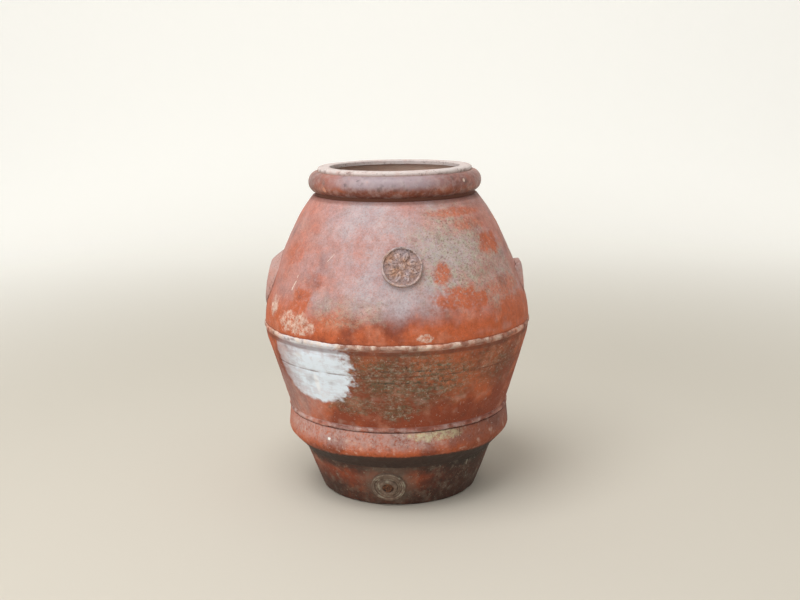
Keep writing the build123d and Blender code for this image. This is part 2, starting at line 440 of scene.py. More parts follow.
# Level lines scored or left open in the belly: height, depth and half width in metres,
# then the turns between which the line is open
SCORED_LINES = (
    (0.4400, 0.0020, 0.0022, -180, 180),
    (0.4575, 0.0011, 0.0018, -24, 30),
    (0.4205, 0.0014, 0.0020, -14, 24),
    (0.4100, 0.0008, 0.0016, -8, 36),
    (0.4960, 0.0009, 0.0022, -64, -22),
    (0.8990, 0.0007, 0.0030, -60, 60),
)
LINE_FADE = 9
LINE_WANDER = 0.0016


def seam_marks(points):
    """Depth of the level lines in the wall."""
    turn = turn_of(points)
    wander = LINE_WANDER * lumps(points, 0.12, 51, flatten=(1, 1, 0.3))
    open_part = 0.55 + 0.45 * lumps(points, 0.05, 55)
    depth = np.zeros(len(points))
    for height, deep, half, first, last in SCORED_LINES:
        near = np.exp(-((points[:, 2] - height - wander) / half) ** 2)
        if last - first < 360:
            near *= ease(turn, first - LINE_FADE, first) * (1 - ease(turn, last, last + LINE_FADE))
        depth += deep * near * open_part
    return depth


def wall_course(line, node):
    """One course of the wall between its level seams, worked by hand inside and out."""
    sizes = settings("jar_sizes")
    low, high = bottom(node), top(node)
    rows = math.ceil((high - low) / sizes.row)
    heights = low + (high - low) * np.arange(rows + 1) / rows
    inner_rows = math.ceil((high - low) / sizes.inner_row)
    inner_heights = high - (high - low) * np.arange(inner_rows + 1) / inner_rows
    outline = [(line.radius(height), height) for height in heights]
    outline += [(line.radius(height) - sizes.wall, height) for height in inner_heights]
    made = piece(node, turned(outline, sizes.steps), node)
    points = read_points(made)
    radius = np.hypot(points[:, 0], points[:, 1])
    outside = radius > line.radius(points[:, 2]) - sizes.wall / 2
    stand_out, wear = hand_built(points)
    inside = settings("jar_hand_work").dents * rough(points, 0.1, 61, flatten=(1, 1, 3))
    stand_out = np.where(outside, stand_out, inside)
    return write_points(made, points + outward(points) * stand_out[:, None],
                        np.where(outside, wear, 0))


CORD_SIDES = 28


def cord_of_clay(node, wander, crust, seed):
    """A round cord of clay laid along the wall, a little wavy, with a crumbling skin."""
    sizes = settings("jar_sizes")
    angles = math.tau * np.arange(CORD_SIDES) / CORD_SIDES
    round_radius = getattr(settings("jar_mouldings"), node)
    middle = wide(node) - round_radius
    height = (bottom(node) + top(node)) / 2
    outline = [(middle + round_radius * math.cos(a), height + round_radius * math.sin(a)) for a in angles]
    made = piece(node, turned(outline, sizes.steps * 3 // 2), node)
    points = read_points(made)
    away = outward(points)
    ring = away * middle + np.array([0, 0, height])
    from_ring = points - ring
    slow = lumps(ring, 0.16, seed) * 0.55 + lumps(ring, 0.05, seed + 1) * 0.45
    thick = rough(ring, 0.11, seed + 2, layers=3)
    skin = rough(points, 0.017, seed + 3, layers=4)
    shrink = (1.3 * crust * (np.minimum(skin, 0.25) - 0.25) + crust * 0.8 * (thick - 1)) / round_radius
    moved = ring + from_ring * (1 + shrink)[:, None]
    moved[:, 2] += wander * slow
    return write_points(made, moved, skin * 1.3)


DONE = {"FINISHED"}


class JAR_OT_base_slab(bpy.types.Operator):
    """Turn the solid floor of the jar, with its worn edge"""
    bl_idname = "jar.base_slab"
    bl_label = "Base Slab"
    bl_options = {"REGISTER", "UNDO"}

    def execute(self, context):
        sizes = settings("jar_sizes")
        high = top("base_slab")
        outline = rounded((0, 0), (sizes.foot_radius, 0, 9 * MM), (wide("base_slab"), high), (0, high))
        made = piece("base_slab", turned(divided(outline, 6 * MM), 384), "base_slab")
        points = read_points(made)
        edge = ease(np.hypot(points[:, 0], points[:, 1]), 0.2, 0.235)
        stand_out, wear = hand_built(points)
        moved = points + outward(points) * (stand_out * edge)[:, None]
        crumble = np.maximum(rough(points, 0.03, 71), 0) * 0.003
        moved[:, 2] += crumble * edge * (1 - ease(points[:, 2], 0.004, 0.02))
        write_points(made, moved, wear)
        dress(made, foot_clay)
        return DONE


class JAR_OT_walls(bpy.types.Operator):
    """Build the four courses of the wall, from the foot to the neck"""
    bl_idname = "jar.walls"
    bl_label = "Wall Courses"
    bl_options = {"REGISTER", "UNDO"}

    def execute(self, context):
        line = WallLine()
        foot = wall_course(line, "foot_wall")
        cut_bore(line, foot)
        dress(foot, foot_clay)
        dress(wall_course(line, "lower_wall"), belly_clay)
        dress(wall_course(line, "belly_wall"), belly_clay)
        dress(wall_course(line, "shoulder_wall"), shoulder_clay)
        return DONE


class JAR_OT_cords(bpy.types.Operator):
    """Lay the cords of clay at the girth and over the lower roll"""
    bl_idname = "jar.cords"
    bl_label = "Cords of Clay"
    bl_options = {"REGISTER", "UNDO"}

    def execute(self, context):
        hand = settings("jar_hand_work")
        dress(cord_of_clay("girth_bead", hand.bead_wander * 0.7, hand.bead_crust, 201),
              belly_clay)
        dress(cord_of_clay("lower_bead", hand.bead_wander * 0.5, hand.bead_crust * 0.7, 231),
              belly_clay)
        return DONE


class JAR_OT_lower_roll(bpy.types.Operator):
    """Turn the heavy moulding over the seam of the foot"""
    bl_idname = "jar.lower_roll"
    bl_label = "Lower Roll"
    bl_options = {"REGISTER", "UNDO"}

    def execute(self, context):
        line = WallLine()
        low, high = bottom("lower_roll"), top("lower_roll")
        seam = top("foot_wall")
        sizes = settings("jar_mouldings")
        crest = (sizes.crest_radius, sizes.crest_height, sizes.crest_round)
        shelf = (line.radius(high) + sizes.shelf, high, sizes.shelf_round)
        outline = rounded((line.radius(low), low), crest, shelf, (line.radius(high), high),
                          (wide("foot_wall"), seam))
        made = piece("lower_roll", turned(divided(outline, 3.2 * MM), 720), "lower_roll")
        points = read_points(made)
        hand = settings("jar_hand_work")
        proud = np.hypot(points[:, 0], points[:, 1]) - line.radius(points[:, 2])
        shown = ease(proud, 1 * MM, 6 * MM)
        foot_edge = 1 - ease(points[:, 2], low, low + 0.03)
        slow = lumps(points, 0.2, 81) * 0.5 + lumps(points, 0.06, 82) * 0.5
        skin = rough(points, 0.014, 83, layers=3)
        stand_out = hand.sway * (slow - 1) * 0.6 + hand.lumps * 1.2 * (skin - 1)
        moved = points + outward(points) * (stand_out * shown)[:, None]
        crumble = rough(points, 0.022, 86, layers=3)
        moved[:, 2] += hand.edge_crumble * np.maximum(crumble, 0) * foot_edge
        write_points(made, moved, 0.7 * skin + 0.8 * crumble * foot_edge)
        dress(made, roll_clay)
        return DONE


# Chips knocked out of the rim: turn in degrees, height, size and depth in metres
RIM_CHIPS = (
    (50.3, 0.967, 0.005, 0.0014),
    (-52.0, 0.944, 0.007, 0.0016),
    (133.0, 0.950, 0.011, 0.0024),
    (-118.0, 0.962, 0.008, 0.0018),
    (171.0, 0.975, 0.009, 0.0018),
)
RIM_REACH = 0.26
RIM_SIDES = 44


class JAR_OT_rim(bpy.types.Operator):
    """Turn the collar, the roll of clay round it and the lip"""
    bl_idname = "jar.rim"
    bl_label = "Collar, Roll and Lip"
    bl_options = {"REGISTER", "UNDO"}

    def execute(self, context):
        low, high = bottom("neck_collar"), top("neck_collar")
        sizes = settings("jar_mouldings")
        outer_low, outer_high = wide("neck_collar"), sizes.collar_top
        collar = rounded((outer_low - sizes.collar_foot, low), (outer_low, low), (outer_high, high),
                         (outer_high - sizes.collar_wall, high, 2 * MM))
        made = piece("neck_collar", turned(divided(collar, 5 * MM), 384), "neck_collar")
        self.uneven(made, 0.0005, 0.0004, 301)
        dress(made, inner_clay)

        across, upright = wide("rim_roll") - outer_high, sizes.rim_half
        middle_height = high - upright
        taper = (outer_low - outer_high) / (high - low)
        angles = np.linspace(math.radians(90), sizes.rim_foot_turn, RIM_SIDES + 1)
        roll = [(outer_high + across * math.cos(a), middle_height + upright * math.sin(a)) for a in angles]
        last_height = roll[-1][1]
        roll.append((outer_high + (high - last_height) * taper, last_height))
        made = piece("rim_roll", turned(divided(roll, 4 * MM), 640), "rim_roll")
        self.uneven(made, 0.0011, 0.0005, 321, chips=RIM_CHIPS)
        dress(made, rim_clay)

        bore = frame_bore()
        lip_low, lip_high = bottom("mouth_lip"), top("mouth_lip")
        lip = rounded((bore, lip_low), (sizes.lip_foot, lip_low), (sizes.lip_top, lip_high, 8 * MM),
                      (bore, lip_high, 4 * MM))
        made = piece("mouth_lip", turned(divided(lip, 2.4 * MM), 640), "mouth_lip")
        self.uneven(made, 0.0007, 0.0006, 341, rise=0.0009)
        dress(made, lip_clay)
        return DONE

    def uneven(self, made, sway, skin_depth, seed, rise=0, chips=()):
        """Takes the ring inwards and down here and there, and never past its true line."""
        points = read_points(made)
        slow = lumps(points, 0.17, seed) * 0.7 + lumps(points, 0.05, seed + 1) * 0.3
        skin = rough(points, 0.013, seed + 2, layers=3)
        stand_out = sway * (slow - 1) / 2 + skin_depth * (np.minimum(skin, 0.5) - 0.5)
        moved = points + outward(points) * stand_out[:, None]
        crown = ease(points[:, 2], points[:, 2].max() - 6 * MM, points[:, 2].max())
        moved[:, 2] += crown * rise * (lumps(points, 0.09, seed + 5) - 1) / 2
        wear = skin * 0.8
        for turn, height, size, depth in chips:
            gone = chip(points, turn, height, size)
            moved -= outward(points) * (gone * depth)[:, None]
            wear += gone * 1.2
        write_points(made, moved, wear)


def chip(points, turn, height, size):
    """How far a place lies in a chip of that size, from 0 to 1."""
    radius = np.hypot(points[:, 0], points[:, 1])
    across = np.radians((turn_of(points) - turn + 180) % 360 - 180) * radius
    away = np.hypot(across, points[:, 2] - height) / size
    return 1 - ease(away + 0.3 * lumps(points, size, 401), 0.55, 1)


def frame_bore():
    """Radius of the mouth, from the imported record's bore."""
    mounts = frame["record"]["mounts"]
    return next(mount for mount in mounts if mount["name"] == "mouth")["dims"]["r_mm"] * MM


# Discs pressed on the wall

class WallSpot:
    """A place on the wall with its own level, upright and outward directions."""
    def __init__(self, line, height, turn):
        self.line = line
        radius, slope = line.radius(height), line.slope(height)
        away = np.array([math.sin(turn), -math.cos(turn), 0])
        self.middle = away * radius + np.array([0, 0, height])
        self.out = (away - np.array([0, 0, slope])) / math.hypot(1, slope)
        self.level = np.array([math.cos(turn), math.sin(turn), 0])
        self.up = np.cross(self.out, self.level)

    def lay(self, points):
        """Bends points of a flat disc, whose third number is their stand-out, onto the wall."""
        flat = self.middle + points[:, :1] * self.level + points[:, 1:2] * self.up
        reach = np.zeros(len(points))
        for _ in range(6):
            here = flat + reach[:, None] * self.out
            radius = np.hypot(here[:, 0], here[:, 1])
            miss = radius - self.line.radius(here[:, 2])
            rate = (here[:, 0] * self.out[0] + here[:, 1] * self.out[1]) / radius
            rate -= self.line.slope(here[:, 2]) * self.out[2]
            reach -= miss / rate
        return flat + (reach + points[:, 2])[:, None] * self.out


def rosette(points):
    """Height of the rosette over its field, from 0 to 1, and how hollow each place is."""
    relief = settings("jar_relief")
    radius = np.hypot(points[:, 0], points[:, 1])
    turn = np.arctan2(points[:, 0], points[:, 1])
    share = math.tau / relief.petals
    off_petal = (turn + share) % share - share / 2
    along = (radius * np.cos(off_petal) - relief.petal_middle) / (relief.petal_length / 2)
    across = radius * np.sin(off_petal) / (relief.petal_width / 2)
    swell = 1 + 0.25 * np.clip(along, -1, 1)
    shape = 1 - np.sqrt(along ** 2 + (across / swell) ** 2)
    petal = ease(shape, 0, 0.42)
    vein = np.exp(-(across / 0.14) ** 2) * ease(shape, 0.1, 0.5)
    rolled = 0.28 * np.abs(across) * petal
    eye = ease(1 - radius / relief.seal_eye, 0, 0.3)
    dimple = np.exp(-(radius / (relief.seal_eye * 0.32)) ** 2)
    off_gap = turn % share - share / 2
    leaf_along = (radius * np.cos(off_gap) - relief.seal_radius * 0.70) / (relief.petal_length * 0.22)
    leaf_across = radius * np.sin(off_gap) / (relief.petal_width * 0.22)
    leaf = 0.75 * ease(1 - np.hypot(leaf_along, leaf_across), 0, 0.5)
    height = np.maximum.reduce([petal * (0.85 - 0.45 * vein) + rolled, eye * (1 - 0.5 * dimple), leaf])
    return height


class JAR_OT_seal(bpy.types.Operator):
    """Press the round seal with its rosette on the shoulder"""
    bl_idname = "jar.seal"
    bl_label = "Rosette Seal"
    bl_options = {"REGISTER", "UNDO"}

    def execute(self, context):
        relief = settings("jar_relief")
        rim_inner = relief.seal_radius - relief.seal_rim_width
        outline = rounded((0, -relief.sunk), (relief.seal_radius, -relief.sunk),
                          (relief.seal_radius, relief.seal_rim, 2.6 * MM),
                          (rim_inner, relief.seal_rim, 2.6 * MM), (rim_inner - 1.5 * MM, relief.seal_field),
                          (0, relief.seal_field), pitch=0.6 * MM)
        bm = turned(divided(outline, 0.75 * MM), 288)
        made = piece("rosette_seal", bm, "rosette_seal")
        points = read_points(made)
        radius = np.hypot(points[:, 0], points[:, 1])
        face = ease(points[:, 2], 0, relief.seal_field * 0.9)
        height = rosette(points) * (radius < rim_inner)
        rise = (relief.seal_relief - relief.seal_field) * height * face
        worn = rough(points, 0.0075, 501, layers=3)
        pits = np.minimum(rough(points, 0.0032, 511, layers=2) + 0.25, 0)
        proud = face * (0.0017 * worn + 0.0042 * pits)
        hollow = (points[:, 2] + rise - relief.seal_field) / (relief.seal_rim - relief.seal_field)
        points[:, 2] += rise + proud
        edge = 1 + 0.012 * lumps(points, 0.02, 521) * ease(radius, rim_inner, relief.seal_radius)
        points[:, :2] *= edge[:, None] * 0.992
        wear = (2 * hollow - 1.1) * face + 0.5 * worn + pits
        spot = WallSpot(WallLine(), relief.seal_height, relief.seal_turn)
        write_points(made, spot.lay(points), wear, sharp=70)
        dress(made, seal_clay)
        return DONE


class JAR_OT_tap_boss(bpy.types.Operator):
    """Press the round boss near the ground, with the collar round its bore"""
    bl_idname = "jar.tap_boss"
    bl_label = "Tap Boss"
    bl_options = {"REGISTER", "UNDO"}

    def execute(self, context):
        relief = settings("jar_relief")
        rim_inner = relief.boss_radius - relief.boss_rim_width
        deep = relief.sunk + relief.boss_face
        bore_deep = relief.bore - deep * math.tan(relief.bore_taper)
        outline = rounded((bore_deep, -relief.sunk), (relief.boss_radius, -relief.sunk),
                          (relief.boss_radius, relief.boss_rim, 3 * MM),
                          (rim_inner, relief.boss_rim, 3 * MM), (rim_inner - 2 * MM, relief.boss_field),
                          (relief.boss_collar + 2 * MM, relief.boss_field),
                          (relief.boss_collar, relief.boss_face, 2.5 * MM),
                          (relief.bore, relief.boss_face, 1.5 * MM), pitch=0.6 * MM)
        made = piece("tap_boss", turned(divided(outline, 0.9 * MM), 256), "tap_boss")
        points = read_points(made)
        radius = np.hypot(points[:, 0], points[:, 1])
        face = ease(points[:, 2], 0, relief.boss_field * 0.9)
        face *= ease(radius, relief.bore, relief.bore + 3 * MM)
        worn = rough(points, 0.009, 601, layers=3)
        rings = np.cos(radius / relief.ring_step * math.pi)
        rings *= ease(radius, relief.boss_collar, relief.boss_collar + 4 * MM)
        points[:, 2] += face * (0.0011 * (worn - 0.5) + 0.0003 * rings)
        wear = face * (worn + 0.5 * rings)
        spot = WallSpot(WallLine(), relief.boss_height, relief.boss_turn)
        write_points(made, spot.lay(points), wear, sharp=60)
        dress(made, boss_clay)
        return DONE


def cut_bore(line, foot):
    """Cuts the tap's tapered bore through the foot course."""
    relief = settings("jar_relief")
    spot = WallSpot(line, relief.boss_height, relief.boss_turn)
    deep = 0.08
    inner = relief.bore - (deep + relief.boss_face) * math.tan(relief.bore_taper)
    cutter = bmesh.new()
    bmesh.ops.create_cone(cutter, cap_ends=True, segments=96, radius1=inner, radius2=relief.bore,
                          depth=deep + relief.boss_face)
    bmesh.ops.translate(cutter, verts=cutter.verts, vec=(0, 0, (relief.boss_face - deep) / 2))
    axes = Matrix((spot.level, spot.up, spot.out)).transposed().to_4x4()
    bmesh.ops.transform(cutter, matrix=Matrix.Translation(spot.middle) @ axes, verts=cutter.verts)
    mesh = bpy.data.meshes.new("bore_cutter")
    cutter.to_mesh(mesh)
    cutter.free()
    drill = bpy.data.objects.new("bore_cutter", mesh)
    bpy.context.scene.collection.objects.link(drill)
    apply_modifier(foot, "BOOLEAN", object=drill, operation="DIFFERENCE", solver="EXACT")
    bpy.data.objects.remove(drill)


def apply_modifier(made, kind, **values):
    """Adds a modifier, takes its result as the piece's mesh, and removes it."""
    modifier = made.modifiers.new(kind.title(), kind)
    for name, value in values.items():
        setattr(modifier, name, value)
    bpy.context.view_layer.update()
    evaluated = made.evaluated_get(bpy.context.evaluated_depsgraph_get())
    result = bpy.data.meshes.new_from_object(evaluated)
    made.modifiers.clear()
    made.data = result


class JAR_OT_ears(bpy.types.Operator):
    """Carve the two ears, worn round, out of their plain forms"""
    bl_idname = "jar.ears"
    bl_label = "Ears"
    bl_options = {"REGISTER", "UNDO"}

    def execute(self, context):
        for seed, node in ((701, "right_ear"), (721, "left_ear")):
            bm = bmesh.new()
            bm.from_mesh(frame["nodes"][node].data)
            bmesh.ops.remove_doubles(bm, verts=bm.verts, dist=1e-5)
            made = piece(node, bm, node)
            apply_modifier(made, "REMESH", mode="VOXEL", voxel_size=1.8 * MM)
            bm = bmesh.new()
            bm.from_mesh(made.data)
            for _ in range(6):
                bmesh.ops.smooth_vert(bm, verts=bm.verts, factor=0.5, use_axis_x=True,
                                      use_axis_y=True, use_axis_z=True)
            bm.to_mesh(made.data)
            bm.free()
            made.data.shade_smooth()
            made.data.attributes.new("wear", "FLOAT", "POINT")
            points = read_points(made)
            slow = lumps(points, 0.03, seed)
            skin = rough(points, 0.011, seed + 1)
            stand_out = 0.0007 * (slow - 0.6) + 0.0005 * (skin - 0.6)
            write_points(made, points + outward(points) * stand_out[:, None], 0.6 * skin + 0.3 * slow)
            dress(made, ear_clay)
        return DONE


class JAR_OT_bung(bpy.types.Operator):
    """Turn the tapered wooden bung in the tap's bore"""
    bl_idname = "jar.bung"
    bl_label = "Bung"
    bl_options = {"REGISTER", "UNDO"}

    def execute(self, context):
        relief = settings("jar_relief")
        clearance = 0.15 * MM
        end = relief.boss_face - 3 * MM
        start = -settings("jar_sizes").wall - 10 * MM

        def radius_at(place):
            return relief.bore - clearance - (relief.boss_face - place) * math.tan(relief.bore_taper)

        outline = rounded((0, start), (radius_at(start), start, 1.5 * MM),
                          (radius_at(end), end, 1.5 * MM), (0, end), pitch=0.5 * MM)
        made = piece("tap_bung", turned(divided(outline, 1.1 * MM), 128), "tap_bung", "bung")
        points = read_points(made)
        rings = np.cos(np.hypot(points[:, 0] + 0.004, points[:, 1]) / 0.0011) * 0.5
        splits = lumps(points, 0.006, 801, flatten=(3, 0.6, 0.2))
        face = ease(points[:, 2], end - 2 * MM, end)
        depth = np.minimum(0.5 * rings + splits - 0.4, 0)
        points[:, 2] += face * 0.0007 * depth
        spot = WallSpot(WallLine(), relief.boss_height, relief.boss_turn)
        moved = spot.middle + points @ np.array([spot.level, spot.up, spot.out])
        write_points(made, moved, 1.5 * depth * face + 0.3)
        dress(made, bung_wood)
        return DONE


# Materials

class Surface:
    """Builds the nodes of one finish; its calls give sockets that other calls take."""
    def __init__(self, name):
        self.material = bpy.data.materials.new(name)
        self.material.use_nodes = True
        self.tree = self.material.node_tree
        self.shader = self.tree.nodes["Principled BSDF"]
        colours = settings("jar_colours")
        self.tints = {name: tuple(getattr(colours, name)) for name in colours.__annotations__}
        self.place = self.add("ShaderNodeTexCoord").outputs["Object"]
        self.x, self.y, self.height = self.add("ShaderNodeSeparateXYZ", self.place).outputs
        self.wear = self.add("ShaderNodeAttribute", attribute_name="wear").outputs["Fac"]
        back = self.sum("MULTIPLY", self.y, -1)
        self.turn = self.sum("MULTIPLY", self.sum("ARCTAN2", self.x, back), math.degrees(1))

    def turn_from(self, turn):
        """Turn from that place, from -180 to 180."""
        return self.sum("WRAP", self.sum("SUBTRACT", self.turn, turn), 180, -180)

    def add(self, kind, *values, **settings_of_node):
        """A node with its first inputs filled by numbers, colours or sockets."""
        node = self.tree.nodes.new(kind)
        for name, value in settings_of_node.items():
            setattr(node, name, value)
        for index, value in enumerate(values):
            self.fill(node.inputs[index], value)
        return node

    def fill(self, socket, value):
        if isinstance(value, bpy.types.NodeSocket):
            self.tree.links.new(value, socket)
        elif socket.type == "RGBA":
            socket.default_value = (*value, 1)
        else:
            socket.default_value = value

    def sum(self, operation, *values, clamp=False):
        return self.add("ShaderNodeMath", *values, operation=operation, use_clamp=clamp).outputs[0]

    def times(self, *values):
        total = values[0]
        for value in values[1:]:
            total = self.sum("MULTIPLY", total, value)
        return total

    def most(self, *values):
        total = values[0]
        for value in values[1:]:
            total = self.sum("MAXIMUM", total, value)
        return total

    def ease(self, value, low, high):
        node = self.add("ShaderNodeMapRange", value, low, high, interpolation_type="SMOOTHSTEP")
        return node.outputs[0]

    def scale(self, value, by, plus):
        return self.sum("MULTIPLY_ADD", value, by, plus)

    def clouds(self, low, high, *noise, **more_noise):
        """Noise eased from 0 to 1 between low and high."""
        return self.ease(self.noise(*noise, **more_noise), low, high)

    def varied(self, least, change, *noise, **more_noise):
        """A value that noise raises from the least one."""
        return self.scale(self.noise(*noise, **more_noise), change, least)

    def uneven(self, change, *noise, **more_noise):
        """The height, raised unevenly, for edges that wander."""
        return self.scale(self.noise(*noise, **more_noise), change, self.height)

    def facing(self, turn, none, full):
        """1 within full degrees of that turn, and 0 past none."""
        return self.ease(self.sum("ABSOLUTE", self.turn_from(turn)), none, full)

    def coat(self, body, tint, *shares):
        """Covers the colour so far with a named tint, by the product of the shares."""
        return self.mix(self.times(*shares), body, self.tints[tint])

    def between(self, value, low, high, soft):
        """1 between low and high, with soft edges."""
        up = self.ease(value, low - soft, low + soft)
        return self.times(up, self.ease(value, high + soft, high - soft))

    def stretched(self, squash, shift=0):
        node = self.add("ShaderNodeVectorMath", self.place, squash, (shift, shift, shift),
                        operation="MULTIPLY_ADD")
        return node.outputs[0]

    def noise(self, size, detail=3, rough=0.55, squash=(1, 1, 1), shift=0.0, bend=0.0):
        """Cloudy noise from 0 to 1 whose clouds are about size across."""
        node = self.add("ShaderNodeTexNoise")
        self.fill(node.inputs["Vector"], self.stretched(squash, shift))
        for name, value in (("Scale", 1 / size), ("Detail", detail), ("Roughness", rough),
                            ("Distortion", bend)):
            node.inputs[name].default_value = value
        return node.outputs[0]

    def specks(self, size, amount, shift=0.0, spread=0.035):
        """Small spots that cover about that share of the surface."""
        threshold = 0.66 - 0.22 * amount
        return self.ease(self.noise(size * 2, 6, 0.85, shift=shift), threshold, threshold + spread)

    def cells(self, size, shift=0.0):
        node = self.add("ShaderNodeTexVoronoi")
        self.fill(node.inputs["Vector"], self.stretched((1, 1, 1), shift))
        node.inputs["Scale"].default_value = 1 / size
        return node.outputs["Distance"]

    def mix(self, amount, first, second):
        node = self.add("ShaderNodeMix", data_type="RGBA")
        self.fill(node.inputs[0], amount)
        self.fill(node.inputs[6], first)
        self.fill(node.inputs[7], second)
        return node.outputs[2]

    def radius(self):
        """Distance from the jar's upright middle line."""
        squared = self.sum("ADD", self.times(self.x, self.x), self.times(self.y, self.y))
        return self.sum("SQRT", squared)

    def shade(self, colour_in, amount, strength=0.3):
        """Makes the colour lighter where amount is over a half, and darker where it is under."""
        factor = self.scale(amount, 2 * strength, 1 - strength)
        node = self.add("ShaderNodeVectorMath", colour_in, operation="SCALE")
        self.fill(node.inputs["Scale"], factor)
        return node.outputs[0]

    def patch(self, turn, height, half_turn, half_height, up=None, soft=0.25, ragged=0.5, size=0.03,
              shift=0.0, squash=(1, 1, 1)):
        """A patch with a ragged edge, round a place given by its turn and height."""
        across = self.sum("DIVIDE", self.turn_from(turn), half_turn)
        rise = self.sum("SUBTRACT", self.height, height)
        if up is None:
            upright = self.sum("DIVIDE", rise, half_height)
        else:
            over = self.sum("DIVIDE", self.sum("MAXIMUM", rise, 0), up)
            under = self.sum("DIVIDE", self.sum("MINIMUM", rise, 0), half_height)
            upright = self.sum("ADD", over, under)
        reach = self.sum("SQRT", self.sum("ADD", self.times(across, across), self.times(upright, upright)))
        edge = self.sum("SUBTRACT", self.noise(size, 4, 0.6, squash, shift=shift), 0.5)
        reach = self.scale(edge, 2 * ragged, reach)
        return self.ease(reach, 1 + soft, 1 - soft)

    def patches(self, places, shift):
        """The strongest of the patches in a table of places."""
        shown = []
        for index, (turn, height, half_turn, down, up, share, *edge) in enumerate(places):
            one = self.patch(turn, height, half_turn, down, up, *edge, shift + index)
            shown.append(self.times(one, share))
        return self.most(*shown)

    def finish(self, colour_out, roughness, bumps, specular=0.4):
        """Links the colour, the roughness and the bumps, each (height, depth in metres)."""
        self.fill(self.shader.inputs["Base Color"], colour_out)
        self.fill(self.shader.inputs["Roughness"], roughness)
        self.shader.inputs["Specular IOR Level"].default_value = specular
        normal = None
        for height, depth in bumps:
            bump = self.add("ShaderNodeBump")
            bump.inputs["Strength"].default_value = 1
            bump.inputs["Distance"].default_value = depth
            self.fill(bump.inputs["Height"], height)
            if normal:
                self.fill(bump.inputs["Normal"], normal)
            normal = bump.outputs[0]
        self.fill(self.shader.inputs["Normal"], normal)
        return self.material


def dress(made, finish):
    """Gives a piece its finish, made once and shared."""
    name = "weathered_" + finish.__name__
    material = bpy.data.materials.get(name) or finish(Surface(name))
    made.data.materials.clear()
    made.data.materials.append(material)


# Where things have settled on the clay. Each place is a turn in degrees, a height, a half turn,
# and the reach down and up in metres, then its strength and how soft, ragged and lumpy its edge is
SHOULDER_LICHEN = (
    (33, 0.77, 22, 0.12, 0.12, 1, 0.4, 0.9, 0.04),
    (52, 0.70, 18, 0.09, 0.09, 0.7, 0.25, 0.9, 0.04),
    (120, 0.72, 38, 0.16, 0.16, 0.8, 0.25, 1.0, 0.05),
    (-140, 0.66, 30, 0.12, 0.12, 0.8, 0.25, 1.0, 0.05),
    (-22, 0.62, 16, 0.04, 0.04, 0.5, 0.25, 0.9, 0.03),
)
SHOULDER_CRUST = (
    (-47, 0.575, 11, 0.030, 0.030, 1, 0.25, 0.8, 0.02),
    (-66, 0.606, 4, 0.028, 0.028, 1, 0.25, 0.6, 0.02),
    (150, 0.57, 24, 0.03, 0.03, 0.8, 0.25, 0.9, 0.02),
)
BELLY_GROWTH = (
    (6, 0.44, 30, 0.085, 0.075, 1, 0.5, 0.8, 0.05),
    (42, 0.45, 26, 0.07, 0.07, 0.62, 0.6, 0.9, 0.05),
    (-1, 0.33, 9, 0.028, 0.028, 1, 0.4, 0.9, 0.02),
    (-20, 0.345, 14, 0.03, 0.03, 0.7, 0.25, 0.9, 0.02),
    (170, 0.42, 50, 0.09, 0.09, 0.9, 0.25, 1.0, 0.05),
    (-110, 0.36, 28, 0.07, 0.07, 0.8, 0.25, 1.0, 0.05),
    (105, 0.33, 24, 0.05, 0.05, 0.8, 0.25, 1.0, 0.05),
)
BARE_CLAY = (
    (21, 0.722, 4.5, 0.034, 0.034, 0.9, 0.4, 1.0, 0.03),
    (57, 0.785, 9, 0.032, 0.032, 0.9, 0.4, 1.0, 0.03),
    (40, 0.880, 18, 0.012, 0.012, 0.7, 0.4, 1.0, 0.03),
    (47, 0.845, 12, 0.016, 0.016, 0.6, 0.4, 1.0, 0.03),
    (30, 0.650, 15, 0.034, 0.034, 0.9, 0.4, 1.0, 0.03),
    (62, 0.600, 16, 0.040, 0.040, 0.8, 0.4, 1.0, 0.03),
    (58, 0.665, 11, 0.030, 0.030, 0.7, 0.4, 1.0, 0.03),
    (-46, 0.640, 6, 0.042, 0.042, 0.85, 0.4, 1.0, 0.03),
    (-60, 0.760, 8, 0.030, 0.030, 0.5, 0.4, 1.0, 0.03),
    (-40, 0.690, 5, 0.030, 0.030, 0.5, 0.4, 1.0, 0.03),
    (96, 0.83, 14, 0.04, 0.04, 0.8, 0.4, 1.0, 0.03),
    (-110, 0.72, 16, 0.05, 0.05, 0.8, 0.4, 1.0, 0.03),
    (165, 0.78, 20, 0.05, 0.05, 0.8, 0.4, 1.0, 0.03),
)
# Colours of single marks, linear, and the jar's radius where it is scratched
WET_SALT = (0.90, 0.93, 0.97)
WHITE_SPOT = (0.90, 0.89, 0.86)
SCRATCHED_REACH = 0.36


def fired_clay(surface, red_share=0.5):
    """Bare clay: orange to red in clouds, with grit and faint upright streaks."""
    clouds = surface.clouds(0.62 - 0.3 * red_share, 0.78 - 0.3 * red_share, 0.16, 4, 0.6, shift=1.7)
    body = surface.coat(surface.tints["orange"], "red", clouds)
    bleached = surface.clouds(0.52, 0.72, 0.07, 4, 0.6, shift=4.1)
    body = surface.coat(body, "salmon", bleached, 0.4)
    streaks = surface.noise(0.022, 3, 0.6, squash=(1, 1, 0.07), shift=6.3)
    body = surface.shade(body, streaks, 0.18)
    body = surface.shade(body, surface.noise(0.009, 6, 0.8, shift=8.9), 0.42)
    return surface.shade(body, surface.noise(0.0016, 2, 0.7, shift=3.3), 0.35)


def grain(surface):
    """Grit and pores of fired clay, as bumps."""
    return [
        (surface.noise(0.012, 4, 0.6, shift=2.2), 0.0016),
        (surface.noise(0.0026, 3, 0.65, shift=5.2), 0.0006),
        (surface.ease(surface.cells(0.007, shift=9.1), 0.0, 0.28), 0.00025),
    ]


